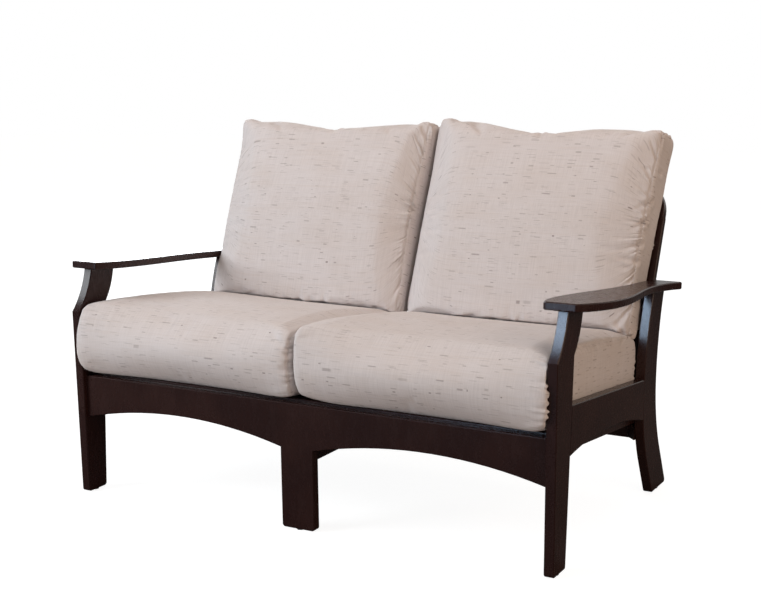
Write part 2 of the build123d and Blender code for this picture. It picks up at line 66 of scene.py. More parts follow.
# Marks on a cover's vertices: how far inside each end they were before the cover was shaped.
END_MARKS = ("low end", "high end")
EVERYWHERE = float("inf")
FILLING_FRAMES = 20
SEAM_HOLD = 0.9  # how firmly a seam is held while its cover fills
END_EASE = 50 * MM  # from an end over which the start inset grows
END_INSET = 0.2  # share of the start inset at the end itself
END_LEVELS = 13  # places along an end face where it is measured
DIRECTIONS = 180  # round a cushion's sides, where their outline is measured
SETTLE_HEIGHT = 220 * MM  # the lower part of a back cushion, which settles
SETTLE_START = 0.6  # rays start this far below it
SETTLE_GAP = 50 * MM  # the widest gap that it closes
SETTLE_CLEAR = 0.8 * MM  # the gap that it leaves
SETTLE_FADE = 60 * MM  # the height over which it settles less
SEAT_RAKE, BACK_LEAN = 5.9, 22.5  # degrees
PANEL_SHIFT = 5.0  # from the cloth's wrap to its end panels on the flat pattern, in metres
CLOTH_SHIFTS = {  # so that no two covers show the same threads, in metres
    "seat_cushion_left": 0.0,
    "seat_cushion_right": 1.37,
    "back_cushion_left": 7.13,
    "back_cushion_right": 9.04,
}
CAMERA_PLACE = (1.78111, -3.16868, 1.18606)
CAMERA_SENSOR, CAMERA_LENS = 36.0, 64.90  # millimetres
CAMERA_SHIFT = (-0.001, 0.0779)


class Lamp(NamedTuple):
    """Where a soft lamp stands, where it looks, its two sides and its colour."""

    place: tuple
    target: tuple
    sides: tuple
    colour: tuple


LAMPS = {
    "key": Lamp((-3.0, -2.9, 2.15), (0.0, -0.1, 0.45), (2.2, 2.0), (0.89, 0.95, 1.0)),
    "fill": Lamp((3.4, -1.2, 1.7), (0.2, 0.0, 0.5), (2.0, 2.0), (1.0, 0.76, 0.57)),
    "top": Lamp((0.2, 0.2, 3.4), (0.0, 0.0, 0.4), (3.0, 2.4), (1.0, 0.8, 0.68)),
    "strip": Lamp((-0.3, -2.5, 1.9), (0.6, -0.4, 0.6), (0.28, 2.6), (0.56, 0.75, 1.0)),
    "rim": Lamp((-3.0, 3.6, 1.5), (-0.4, 0.0, 0.6), (2.0, 2.0), (0.86, 0.93, 1.0)),
}


class Swelling(NamedTuple):
    """Where a seat cushion stands fuller, in millimetres: by how much, next to which end, within
    how far of it, at which depth behind its front, and within how far of that."""

    amount: float
    end: str
    width: float
    depth: float = 0
    length: float = EVERYWHERE


SEAT_TOPS = {
    "left": (Swelling(13, "outer", 70, 0, 250), Swelling(8, "outer", 250)),
    "right": (
        Swelling(3, "outer", 150),
        Swelling(7, "outer", 80, 50, 120),
        Swelling(4, "inner", 110),
        Swelling(12, "inner", 110, 50, 240),
    ),
}
# The underside rises by this much.
SEAT_UNDERSIDES = {
    "left": (Swelling(5, "inner", 35),),
    "right": (Swelling(11, "inner", 70, 0, 200), Swelling(5, "outer", 30)),
}


SEAT_LEAN = 9 * MM  # the top of a seat cushion's inner end to the left
BULGE_OUT, BULGE_FORWARD = 18 * MM, 12 * MM  # of a seat cushion round the front of its leg
LEG_CLEAR = 1 * MM  # between a seat cushion and the inner face of its leg
LEG_COVER = 19 * MM  # how far a seat cushion comes out in front of its leg


class BackShape(NamedTuple):
    """How far a back cushion is drawn out of its filled shape, in millimetres."""

    lift: float  # the whole top upwards
    crown: float  # the top between its corners upwards
    corner: float  # the inner corner upwards
    tip: float  # the top beside the inner corner upwards
    outward: float  # the outer top corner outwards
    outward_behind: float  # the outer rear edge outwards
    backward: float  # the inner front edge backwards
    lean: float  # the inner end to the left
    foot: float  # the bottom of the inner end to the left
    head: float  # the top of the inner end to the left
    outer_lift: float = 3  # the top at the outer end upwards
    outer_backward: float = 7  # the outer front edge backwards
    below_arm: float = 8  # the outer end outwards, below the arm
    front_edge: float = 9  # the inner front edge to the left


BACK_SHAPES = {
    "left": BackShape(
        lift=10, crown=13, corner=0, tip=0, outward=24, outward_behind=0, backward=9,
        lean=15, foot=0, head=0,
    ),
    "right": BackShape(
        lift=3, crown=26, corner=15, tip=6, outward=0, outward_behind=3, backward=38,
        lean=0, foot=11, head=8,
    ),
}


class Seams(NamedTuple):
    """The gathered seams of the seat cushions or of the back cushions, in millimetres."""

    seed: int
    spacing: float
    reach: tuple  # of the shortest and the longest fold
    strengths: dict  # at the left and the right end of each cushion


SEAT_SEAMS = Seams(11, 12, (8, 28), {"left": (0.1, 1.1), "right": (0.15, 1.0)})
BACK_SEAMS = Seams(31, 16, (10, 34), {"left": (0.25, 1.6), "right": (0.4, 1.5)})
FOLD_JITTER = 0.45  # share of the spacing by which a fold strays
FOLD_WIDTHS = (3, 6.5)  # half widths in millimetres
FOLD_DEPTHS = (0.0, 0.25, 0.4, 0.7, 1.0, 1.3)  # shares of the set depth
FOLD_SLANT = 0.25
FOLD_RIDGE = 0.55  # height of the ridge beside a fold, as a share of its depth
RIDGE_AT = 1.7  # half widths from the middle of a fold
FOLD_END = 4  # reaches from the seam, where a fold is gone
PANEL_SLOPE = 0.8  # what depth inside the outline counts as distance from the seam
PANEL_FOLDS = 2.6  # how much deeper the folds are on an end panel
RESTING = 0.6  # share of the distance to the lowest point below which nothing is pushed out
CREASE_FADE = 0.75  # share of its depth that a crease loses by its end
CREASE_RIDGE = 0.45  # height of the ridge beside a crease, as a share of its depth
CREASE_RIDGE_AT, CREASE_RIDGE_WIDTH = 2.3, 1.2  # half widths of the crease
# Single creases of the back cushions in millimetres: start, end, half width, depth. Start and end
# are across, along and proud of the cushion's middle.
BACK_CREASES = {
    "left": (
        ((18, 244, 42), (-34, 186, 62), 5.0, 4.5),
        ((24, 244, 42), (88, 216, 55), 4.5, 2.5),
        ((314, 4, 62), (268, -8, 75), 5.0, 4.5),
        ((324, -14, 56), (276, -27, 75), 6.0, 5.5),
        ((318, -36, 60), (286, -47, 74), 5.0, 4.0),
        ((316, -98, 62), (272, -86, 76), 5.5, 3.5),
        ((316, 96, 60), (286, 104, 70), 5.0, 2.5),
        ((21, -276, 58), (8, -232, 72), 6.0, 4.5),
        ((147, -286, 52), (139, -250, 68), 5.0, 3.5),
        ((250, -288, 48), (231, -252, 65), 6.0, 4.5),
        ((-121, -272, 56), (-130, -244, 70), 5.0, 3.0),
        ((-226, -264, 56), (-218, -238, 70), 5.0, 3.0),
    ),
    "right": (
        ((-2, 248, 40), (-28, 216, 54), 5.0, 4.5),
        ((4, 248, 40), (46, 226, 52), 4.5, 3.5),
        ((330, 154, 10), (298, 150, 62), 6.0, 4.0),
        ((328, 71, 30), (292, 38, 70), 6.0, 5.0),
        ((327, 23, 38), (292, -20, 72), 5.5, 4.0),
        ((326, -45, 42), (282, -66, 75), 6.0, 5.0),
        ((324, -95, 48), (270, -94, 77), 6.0, 4.5),
        ((-314, -6, 62), (-236, -12, 80), 5.0, 3.5),
        ((-9, -288, 52), (0, -228, 74), 6.0, 5.0),
        ((96, -288, 50), (104, -248, 69), 5.0, 4.0),
        ((306, -284, 46), (288, -250, 62), 6.0, 4.0),
        ((-160, -284, 52), (-150, -252, 68), 5.0, 3.0),
    ),
}


def hex_colour(text):
    """A written sRGB colour as the linear values that a shader takes."""
    parts = [int(text[place : place + 2], 16) / 255 for place in (0, 2, 4)]
    linear = [
        part / 12.92 if part <= 0.04045 else ((part + 0.055) / 1.055) ** 2.4 for part in parts
    ]
    return (*linear, 1.0)


def length_setting(name, text, value, low=0.0, high=10.0):
    """A length in metres that the panel shows."""
    return bpy.props.FloatProperty(
        name=name, description=text, default=value, min=low, max=high,
        subtype="DISTANCE", unit="LENGTH", precision=4,
    )


def number_setting(name, text, value, low=0.0, high=1000.0):
    """A plain number that the panel shows."""
    return bpy.props.FloatProperty(name=name, description=text, default=value, min=low, max=high)


def angle_setting(name, text, value):
    """An angle that the panel shows in degrees."""
    return bpy.props.FloatProperty(
        name=name, description=text, default=radians(value), subtype="ANGLE", unit="ROTATION"
    )


def colour_setting(name, text, value):
    """A colour that the panel shows."""
    return bpy.props.FloatVectorProperty(
        name=name, description=text, default=hex_colour(value), size=4, min=0.0, max=1.0,
        subtype="COLOR",
    )


class LoveseatFinishes(bpy.types.PropertyGroup):
    """Colours and surface sizes"""

    polymer: colour_setting("Polymer", "Dark brown of the frame boards", "261210")
    polymer_pale: colour_setting("Polymer, rubbed", "Brown where the boards are lighter", "331d19")
    polymer_roughness: number_setting("Polymer roughness", "Satin of the boards", 0.27, 0.0, 1.0)
    steel: colour_setting("Steel", "Brackets between stiles and legs", "b4b2ae")
    nylon: colour_setting("Nylon", "Glides under the feet", "191817")
    cloth: colour_setting("Cloth", "Ground of the cushion cloth", "d6cfce")
    cloth_warm: colour_setting("Cloth, warm yarn", "Warmer yarns of the cloth", "cabcb3")
    slub: colour_setting("Slub", "Dark threads in the weft", "6a5955")
    yarn: length_setting("Yarn", "From one yarn to the next", 1.1 * MM)


class LoveseatCushions(bpy.types.PropertyGroup):
    """How the cushions are filled and sewn"""

    voxel: length_setting("Grain", "Size of the faces while the cover is filled", 10 * MM)
    inset: length_setting("Start inset", "How much smaller than its solid a cover starts", 4 * MM)
    seat_pressure: number_setting("Seat filling", "Pressure inside a seat cover", 11.0)
    back_pressure: number_setting("Back filling", "Pressure inside a back cover", 4.5)
    seat_slack: number_setting("Seat slack", "How much the seat cloth exceeds its pattern", 0.0)
    back_slack: number_setting("Back slack", "How much the back cloth exceeds its pattern", 0.014)
    swell: length_setting("Swell", "The farthest that a point of the cover may move", 22 * MM)
    seat_proud: length_setting("Seat proud", "How far a free seat face may pass its solid", 6 * MM)
    back_proud: length_setting("Back proud", "How far a free back face may pass its solid", 14 * MM)
    seam_inset: length_setting("Seam inset", "From the end face to the seam round it", 6 * MM)
    seam_depth: length_setting("Seam depth", "Depth of the groove at a seam", 2.6 * MM)
    seam_width: length_setting("Seam width", "Half the width of the groove at a seam", 3.4 * MM)
    gather: length_setting("Gathers", "Depth of the folds that start at a seam", 2.4 * MM)


class LoveseatStage(bpy.types.PropertyGroup):
    """Studio, lamps and camera"""

    floor_size: length_setting("Floor", "Side of the floor", 24.0, 1.0, 100.0)
    floor_glow: number_setting("Floor white", "White that the camera sees besides the light", 0.905)
    floor_shade: number_setting("Floor shade", "Share of light that shows the shadow", 0.3, 0, 1)
    floor_mirror: number_setting("Floor mirrored", "Floor seen in glossy boards", 0.12, 0, 1)
    world: number_setting("Room light", "Light from all round", 0.34)
    key: number_setting("Key lamp", "Watts of the large lamp at the front left", 130.0)
    fill: number_setting("Fill lamp", "Watts of the lamp at the right", 36.0)
    top: number_setting("Top lamp", "Watts of the lamp overhead", 29.0)
    strip: number_setting("Strip lamp", "Watts of the lamp that only gloss shows", 115.0)
    rim: number_setting("Rim lamp", "Watts of the lamp behind the left arm", 60.0)
    yaw: angle_setting("Yaw", "Turn of the camera about the vertical", 29.2584)
    pitch: angle_setting("Pitch", "The camera looks down by this angle", 13.0846)
    roll: angle_setting("Roll", "Turn of the camera about its own axis", -0.5605)


class Link:
    """An output socket, on which Python's operators add Math nodes."""

    def __init__(self, paint, socket):
        self.paint, self.socket = paint, socket

    def maths(self, operation, *values):
        """A Math node on these values."""
        return self.paint.node("ShaderNodeMath", {"operation": operation}, dict(enumerate(values)))

    def __add__(self, other): return self.maths("ADD", self, other)
    def __radd__(self, other): return self.maths("ADD", other, self)
    def __sub__(self, other): return self.maths("SUBTRACT", self, other)
    def __rsub__(self, other): return self.maths("SUBTRACT", other, self)
    def __mul__(self, other): return self.maths("MULTIPLY", self, other)
    def __rmul__(self, other): return self.maths("MULTIPLY", other, self)
    def __truediv__(self, other): return self.maths("DIVIDE", self, other)
    def __gt__(self, other): return self.maths("GREATER_THAN", self, other)
    def __abs__(self): return self.maths("ABSOLUTE", self)

    def sine(self): return self.maths("SINE", self)
    def at_least(self, other): return self.maths("MAXIMUM", self, other)

    def step(self, start, end):
        """0 before start and 1 after end, smoothly."""
        return self.paint.node(
            "ShaderNodeMapRange",
            {"interpolation_type": "SMOOTHSTEP"},
            {"Value": self, "From Min": start, "From Max": end},
        )


class Paint:
    """The nodes of a new material, or of the world. One method makes any of them."""

    def __init__(self, owner):
        owner.use_nodes = True
        self.owner, self.tree = owner, owner.node_tree
        self.tree.nodes.clear()

    def node(self, kind, settings=None, values=None, out=0):
        """A node with its settings, then its values or links. Gives the outputs that out names."""
        made = self.tree.nodes.new(kind)
        for name, value in (settings or {}).items():
            setattr(made, name, value)
        for name, value in (values or {}).items():
            if isinstance(value, Link):
                self.tree.links.new(value.socket, made.inputs[name])
            else:
                made.inputs[name].default_value = value
        if isinstance(out, tuple):
            return [Link(self, made.outputs[name]) for name in out]
        return Link(self, made.outputs[out]) if made.outputs else None

    def noise(self, place, scale, detail=2.0, roughness=0.5, distortion=0.0):
        """Soft noise between 0 and 1."""
        return self.node(
            "ShaderNodeTexNoise", None,
            {"Vector": place, "Scale": scale, "Detail": detail, "Roughness": roughness,
             "Distortion": distortion},
        )

    def stretched(self, place, x, y, z=1.0):
        """A place with each of its parts multiplied."""
        return self.node(
            "ShaderNodeVectorMath", {"operation": "MULTIPLY"}, {0: place, 1: (x, y, z)}
        )

    def parts(self, place):
        """The three parts of a place or a colour."""
        return self.node("ShaderNodeSeparateXYZ", None, {0: place}, out=(0, 1, 2))

    def mix(self, share, low, high):
        """From one colour to another."""
        return self.node("ShaderNodeMix", {"data_type": "RGBA"}, {0: share, 6: low, 7: high}, out=2)

    def bump(self, height, depth, strength=1.0, under=None):
        """Normals of a relief, on top of those of another one."""
        values = {"Height": height, "Distance": depth, "Strength": strength}
        if under:
            values["Normal"] = under
        return self.node("ShaderNodeBump", None, values)

    def finish(self, **values):
        """The surface shader with the given values, and the material."""
        surface = self.node(
            "ShaderNodeBsdfPrincipled", None,
            {name.replace("_", " "): value for name, value in values.items()},
        )
        self.node("ShaderNodeOutputMaterial", None, {"Surface": surface})
        return self.owner


def new_paint(name):
    """The nodes of a new material with this name."""
    return Paint(bpy.data.materials.new(name))


def polymer_material(finish):
    """Dark satin polymer boards: fine pebbled skin, faint clouding and paler rubbed places."""
    paint = new_paint("polymer boards")
    place = paint.node("ShaderNodeTexCoord", out="Object")
    clouds = paint.noise(place, scale=5.0, detail=3.0, roughness=0.55)
    skin = paint.noise(place, scale=420.0, detail=3.0, roughness=0.6)
    smears = paint.noise(
        paint.stretched(place, 1.0, 1.0, 0.35),
        scale=38.0, detail=4.0, roughness=0.6, distortion=0.4,
    )
    rubbed = clouds.step(0.42, 0.66) * 0.5 + smears.step(0.5, 0.75) * 0.25 + skin * 0.18
    colour = paint.mix(rubbed, finish.polymer, finish.polymer_pale)
    rough = smears * 0.1 + skin * 0.06 + (finish.polymer_roughness - 0.08)
    pebbles = paint.bump(skin, 0.12 * MM, 0.5)
    return paint.finish(
        Base_Color=colour, Roughness=rough, Normal=paint.bump(smears, 0.2 * MM, 0.35, pebbles),
        Specular_IOR_Level=0.3,
    )


def steel_material(finish):
    """Brushed steel with fine lines across it."""
    paint = new_paint("brushed steel")
    place = paint.node("ShaderNodeTexCoord", out="Object")
    lines = paint.noise(paint.stretched(place, 900.0, 60.0, 900.0), 1.0, 2.0)
    clouds = paint.noise(place, 40.0, 3.0)
    dull = (0.2, 0.19, 0.18, 1.0)
    return paint.finish(
        Base_Color=paint.mix(lines * 0.35 + clouds * 0.2, finish.steel, dull),
        Metallic=1.0, Roughness=lines * 0.14 + 0.28, Normal=paint.bump(lines, 0.04 * MM, 0.4),
    )


def nylon_material(finish):
    """Dull nylon glides, scuffed at random."""
    paint = new_paint("nylon glides")
    place = paint.node("ShaderNodeTexCoord", out="Object")
    scuffs = paint.noise(place, 240.0, 4.0, 0.65)
    scuffed = (0.03, 0.03, 0.029, 1.0)
    return paint.finish(
        Base_Color=paint.mix(scuffs.step(0.45, 0.75), finish.nylon, scuffed),
        Roughness=scuffs * 0.2 + 0.45, Normal=paint.bump(scuffs, 0.1 * MM, 0.4),
    )


def cloth_material(finish):
    """Slubbed outdoor cloth: a fine plain weave, uneven yarns and short dark threads."""
    paint = new_paint("slub cloth")
    place = paint.node("ShaderNodeUVMap", {"uv_map": "cloth"})
    across, along, _ = paint.parts(place)
    warp = paint.noise(paint.stretched(place, 420.0, 9.0), 1.0, 2.0, 0.6)
    weft = paint.noise(paint.stretched(place, 14.0, 460.0), 1.0, 2.0, 0.6)
    long_weft = paint.noise(paint.stretched(place, 5.0, 240.0), 1.0, 1.0)
    clouds = paint.noise(place, 7.0, 2.0)
    ground = paint.mix(clouds.step(0.35, 0.75) * 0.25 + long_weft.step(0.45, 0.75) * 0.22,
                       finish.cloth, finish.cloth_warm)
    shade = warp.step(0.3, 0.75) * 0.1 + weft.step(0.3, 0.75) * 0.08
    ground = paint.mix(shade, ground, finish.slub)

    def threads(width, height, length, thickness, share, shift):
        """Short dark threads, one at most in each cell of this width and height, and only in a
        share of the cells."""
        moved = paint.node(
            "ShaderNodeVectorMath", {"operation": "ADD"}, {0: place, 1: (shift, shift * 0.7, 0.0)}
        )
        cells = paint.stretched(moved, 1 / width, 1 / height, 0.0)
        middle, chance = paint.node(
            "ShaderNodeTexVoronoi", {"voronoi_dimensions": "2D"}, {"Scale": 1.0, "Vector": cells},
            out=("Position", "Color"),
        )
        offset = paint.node(
            "ShaderNodeVectorMath", {"operation": "SUBTRACT"}, {0: cells, 1: middle}
        )
        off_x, off_y, _ = paint.parts(offset)
        kind, size, tone = paint.parts(chance)
        reach = (size * 0.8 + 0.35) * length
        run = 1.0 - (abs(off_x) * width / reach).step(0.55, 1.0)
        wander = (weft - 0.5) * thickness * 1.6
        body = 1.0 - (abs(off_y * height + wander) / thickness).step(0.35, 1.0)
        return run * body * (kind > 1.0 - share) * (tone * 0.5 + 0.5)

    dashes = threads(
        width=0.058, height=0.0155, length=0.014, thickness=0.0018, share=0.42, shift=0.0
    )
    hairs = threads(width=0.046, height=0.011, length=0.017, thickness=0.0012, share=0.5, shift=3.7)
    knots = threads(width=0.088, height=0.046, length=0.006, thickness=0.0021, share=0.5, shift=7.9)
    dark = (dashes * 0.48).at_least(hairs * 0.26).at_least(knots * 0.75)
    colour = paint.mix(dark, ground, finish.slub)
    turn = 2 * pi / finish.yarn
    weave = (across * turn).sine() * (along * turn).sine()
    fine = paint.bump(weave, 0.16 * MM, 0.25)
    yarns = paint.bump(warp * 0.6 + weft, 0.5 * MM, 0.3, fine)
    return paint.finish(
        Base_Color=colour, Roughness=0.94 - weft * 0.1,
        Normal=paint.bump(dark, 0.5 * MM, 0.4, yarns),
        Sheen_Weight=0.12, Sheen_Roughness=0.5, Specular_IOR_Level=0.18,
    )


def paint_node(name, material):
    """Gives a CAD node another material in each of its slots."""
    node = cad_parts[name]
    for slot in node.material_slots:
        slot.material = material


def pick(*objects):
    """Selects these objects and nothing else."""
    if bpy.context.mode != "OBJECT":
        bpy.ops.object.mode_set(mode="OBJECT")
    bpy.ops.object.select_all(action="DESELECT")
    for one in objects:
        one.hide_set(False)
        one.select_set(True)
    bpy.context.view_layer.objects.active = objects[-1]


def finish_modifier(piece, kind, **settings):
    """Adds a modifier, sets it and applies it."""
    pick(piece)
    modifier = piece.modifiers.new(kind.title(), kind)
    for name, value in settings.items():
        setattr(modifier, name, value)
    bpy.ops.object.modifier_apply(modifier=modifier.name)


def read_points(mesh):
    """The places of a mesh's vertices, one row each."""
    flat = np.empty(len(mesh.vertices) * 3)
    mesh.vertices.foreach_get("co", flat)
    return flat.reshape(-1, 3)


def read_normals(mesh):
    """The normals of a mesh's vertices, one row each."""
    flat = np.empty(len(mesh.vertices) * 3)
    mesh.vertex_normals.foreach_get("vector", flat)
    return flat.reshape(-1, 3)


def read_ends(mesh):
    """How far inside each of its two ends every vertex of a cover is."""
    ends = []
    for name in END_MARKS:
        inside = np.empty(len(mesh.vertices))
        mesh.attributes[name].data.foreach_get("value", inside)
        ends.append(inside)
    return ends


def write_points(mesh, points):
    """Moves a mesh's vertices to these places."""
    mesh.vertices.foreach_set("co", points.ravel())
    mesh.update()


def near(distance, width):
    """1 at no distance, and next to nothing from two widths on."""
    return np.exp(-((distance / width) ** 2))


def ramp(value, start, end):
    """0 before start and 1 after end, in a straight line between them."""
    return np.clip((value - start) / (end - start), 0, 1)


class Cushion:
    """One filled cover: its pattern's own directions, its ends and the outline of its sides."""

    def __init__(self, node, along, proud):
        self.along, self.proud = np.array(along), np.array(proud)
        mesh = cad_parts[node].data
        self.solid = BVHTree.FromPolygons(
            [v.co for v in mesh.vertices], [p.vertices for p in mesh.polygons]
        )
        points = read_points(mesh)
        self.centre = (points.min(axis=0) + points.max(axis=0)) / 2
        local = self.local(points)
        self.low_end, self.high_end = self.end_line(local, -1), self.end_line(local, 1)
        self.outline(local)

    def local(self, points):
        """Across, along and proud of the cushion's centre."""
        offset = points - self.centre
        return np.stack([offset[:, 0], offset @ self.along, offset @ self.proud], axis=1)

    def end_line(self, local, side):
        """The end face as a straight line: across = first * along + second."""
        places, reach = [], []
        levels = np.linspace(local[:, 1].min(), local[:, 1].max(), END_LEVELS)
        for low, high in zip(levels, levels[1:]):
            level = local[(local[:, 1] >= low) & (local[:, 1] <= high)]
            if len(level):
                end = level[np.argmax(level[:, 0] * side)]
                places.append(end[1])
                reach.append(end[0])
        return np.polyfit(places, reach, 1)

    def outline(self, local):
        """The distance round the sides for each direction from the middle."""
        angle = np.arctan2(local[:, 2], local[:, 1])
        radius = np.hypot(local[:, 1], local[:, 2])
        bins = np.linspace(-pi, pi, DIRECTIONS + 1)
        middles = (bins[1:] + bins[:-1]) / 2
        reach = np.full(len(middles), np.nan)
        for number, (low, high) in enumerate(zip(bins, bins[1:])):
            inside = (angle >= low) & (angle < high)
            if inside.any():
                reach[number] = radius[inside].max()
        known = ~np.isnan(reach)
        reach = np.interp(middles, middles[known], reach[known], period=2 * pi)
        x, y = reach * np.cos(middles), reach * np.sin(middles)
        steps = np.hypot(np.diff(x, append=x[0]), np.diff(y, append=y[0]))
        self.angles = middles
        self.lengths = np.concatenate([[0], np.cumsum(steps)[:-1]])
        self.round = steps.sum()
        self.reach = reach

    def girth(self, local):
        """How far round the sides each point is."""
        return np.interp(np.arctan2(local[:, 2], local[:, 1]), self.angles, self.lengths)

    def ends(self, local):
        """How far inside each of the two end faces a point is."""
        low = local[:, 0] - np.polyval(self.low_end, local[:, 1])
        high = np.polyval(self.high_end, local[:, 1]) - local[:, 0]
        return low, high

    def off_ends(self, local):
        """0 at the two end faces and 1 well inside them."""
        return ramp(np.minimum(*self.ends(local)), 4 * MM, 44 * MM)


def fill(piece, held, pressure, slack):
    """Swells a cover by a cloth simulation. The vertices in held are kept near their places."""
    group = piece.vertex_groups.new(name="seam")
    for number in held:
        group.add([int(number)], SEAM_HOLD, "REPLACE")
    cloth = piece.modifiers.new("Filling", "CLOTH")
    cloth.settings.quality = 4
    cloth.settings.vertex_group_mass = group.name
    cloth.settings.pin_stiffness = 0.6
    cloth.settings.use_pressure = True
    cloth.settings.uniform_pressure_force = pressure
    cloth.settings.effector_weights.gravity = 0.0
    cloth.settings.shrink_min = -slack
    for number in range(1, FILLING_FRAMES + 1):
        bpy.context.scene.frame_set(number)
    bpy.ops.object.modifier_apply(modifier=cloth.name)
    bpy.context.scene.frame_set(1)
    piece.vertex_groups.clear()


def fill_cover(piece, cushion, sizes, pressure, slack, free, shape):
    """Fills a cover and keeps it by its solid. free gives how far each point may pass the solid,
    and shape moves points afterwards."""
    piece.data.remesh_voxel_size = sizes.voxel
    pick(piece)
    bpy.ops.object.voxel_remesh()
    finish_modifier(piece, "SMOOTH", factor=0.5, iterations=2)
    mesh = piece.data
    start = read_points(mesh)
    low, high = cushion.ends(cushion.local(start))
    panel = np.clip((np.minimum(low, high) - sizes.seam_inset) / END_EASE, END_INSET, 1)
    write_points(mesh, start - read_normals(mesh) * sizes.inset * panel[:, None])
    seam = np.minimum(abs(low - sizes.seam_inset), abs(high - sizes.seam_inset))
    fill(piece, np.flatnonzero(seam < sizes.voxel), pressure, slack)
    moved = read_points(mesh) - start
    length = np.linalg.norm(moved, axis=1, keepdims=True)
    write_points(mesh, start + moved * np.minimum(1, sizes.swell / np.maximum(length, 1e-9)))
    keep_by_solid(piece, cushion, free)
    for name, inside in zip(END_MARKS, cushion.ends(cushion.local(read_points(mesh)))):
        mesh.attributes.new(name, "FLOAT", "POINT").data.foreach_set("value", inside)
    shape(piece)
    finish_modifier(piece, "SUBSURF", levels=2, render_levels=2)


def keep_by_solid(piece, cushion, free):
    """Moves back what stands farther out of the solid than it may."""
    mesh = piece.data
    points = read_points(mesh)
    allowed = free(cushion.local(points))
    for number, point in enumerate(points):
        skin, normal, _, gap = cushion.solid.find_nearest(Vector(point))
        out = Vector(point) - skin
        if out.dot(normal) > 0 and gap > allowed[number]:
            points[number] = skin + out * (allowed[number] / gap)
    write_points(mesh, points)


def solid_of(pieces):
    """The faces of several pieces, ready to be met by rays."""
    points, faces = [], []
    for piece in pieces:
        first, mesh = len(points), piece.data
        faces += [[first + corner for corner in face.vertices] for face in mesh.polygons]
        points += [vertex.co.copy() for vertex in mesh.vertices]
    return BVHTree.FromPolygons(points, faces)


def settle(piece, cushion, seats):
    """Lets the underside of a back cushion down on the seat cushions, so that no light shows."""
    mesh = piece.data
    points = read_points(mesh)
    own = solid_of([piece])
    down = -Vector(cushion.along)
    local = cushion.local(points)
    lowest = local[:, 1].min()
    for number in np.flatnonzero(local[:, 1] < lowest + SETTLE_HEIGHT):
        point = Vector(points[number])
        under, normal, _, _ = own.ray_cast(point + down * SETTLE_START, -down)
        if under is None:
            continue
        seat, _, _, gap = seats.ray_cast(under, down)
        if seat is None or gap > SETTLE_GAP:
            continue
        height = (point - under).dot(-down)
        facing = max(0.0, normal.dot(down))
        drop = (gap - SETTLE_CLEAR) * facing * np.exp(-height / SETTLE_FADE)
        points[number] = point + down * drop
    write_points(mesh, points)


def swell(swellings, outer, inner, depth):
    """How far several swellings move each point."""
    total = np.zeros(len(depth))
    for one in swellings:
        beside = near(outer if one.end == "outer" else inner, one.width * MM)
        total += one.amount * MM * beside * near(depth - one.depth * MM, one.length * MM)
    return total


def shape_seat(piece, cushion, side):
    """Swells a seat cushion where the photograph shows it full: at its outer end, round the front
    of the leg, and at the parting, where the right one rises over the left one."""
    leg_low, leg_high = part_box("front_leg_" + side)
    sign = 1 if side == "right" else -1
    leg_face = leg_low[0] if side == "right" else -leg_high[0]
    mesh = piece.data
    points = read_points(mesh)
    local = cushion.local(points)
    height = local[:, 2]
    outer, inner = cushion.ends(local)[::-sign]
    depth = points[:, 1] - points[:, 1].min()
    points[:, 0] -= SEAT_LEAN * ramp(height, -60 * MM, 60 * MM) * near(inner, 60 * MM)
    points[:, 2] += swell(SEAT_TOPS[side], outer, inner, depth) * ramp(height, 0, 60 * MM)
    points[:, 2] += swell(SEAT_UNDERSIDES[side], outer, inner, depth) * ramp(height, 0, -60 * MM)
    outward = points[:, 0] * sign
    bulge = near(leg_face - outward, 60 * MM) * near(points[:, 1] - leg_low[1] + 10 * MM, 50 * MM)
    bulge *= np.exp(-((height / (95 * MM)) ** 4))
    points[:, 1] -= BULGE_FORWARD * bulge
    outward = outward + BULGE_OUT * bulge
    ahead = ramp(points[:, 1], leg_low[1] - 2 * MM, leg_low[1] - 16 * MM)
    outward = np.minimum(outward, leg_face - LEG_CLEAR + LEG_COVER * np.sqrt(ahead))
    points[:, 0] = outward * sign
    write_points(mesh, points)


def gathers(draws, seams, length):
    """Places, half widths, reaches, depths and slants of the folds along a seam."""
    spacing = seams.spacing * MM
    return [
        (
            (number + draws.uniform(-FOLD_JITTER, FOLD_JITTER)) * spacing,
            draws.uniform(*FOLD_WIDTHS) * MM,
            draws.uniform(*seams.reach) * MM,
            draws.choice(FOLD_DEPTHS),
            draws.uniform(-FOLD_SLANT, FOLD_SLANT),
        )
        for number in range(int(length / spacing))
    ]


def sew(piece, cushion, sizes, seams, side):
    """Presses the seams and their gathered folds into a cover."""
    draws = Random(seams.seed + SIDES.index(side))
    mesh = piece.data
    points, normals = read_points(mesh), read_normals(mesh)
    local = cushion.local(points)
    girth = cushion.girth(local)
    angle = np.arctan2(local[:, 2], local[:, 1])
    rim = np.interp(angle, cushion.angles, cushion.reach) - np.hypot(local[:, 1], local[:, 2])
    push = np.zeros(len(points))
    for inside, strength in zip(read_ends(mesh), seams.strengths[side]):
        from_seam = inside - sizes.seam_inset
        away = np.where(from_seam > 0, from_seam, np.maximum(rim * PANEL_SLOPE, -from_seam))
        push -= sizes.seam_depth * near(away, sizes.seam_width)
        relief = np.zeros(len(points))
        for place, width, reach, depth, slant in gathers(draws, seams, cushion.round):
            offset = girth - place - slant * away
            offset -= cushion.round * np.round(offset / cushion.round)
            fold = near(offset, width) - FOLD_RIDGE * near(offset - RIDGE_AT * width, width)
            relief -= depth * fold * near(away, reach) * (away < FOLD_END * reach)
        push += sizes.gather * strength * relief * np.where(from_seam < 0, PANEL_FOLDS, 1.0)
    resting = local[:, 2] < RESTING * local[:, 2].min()
    push = np.where(resting, np.minimum(push, 0), push)
    write_points(mesh, points + normals * push[:, None])


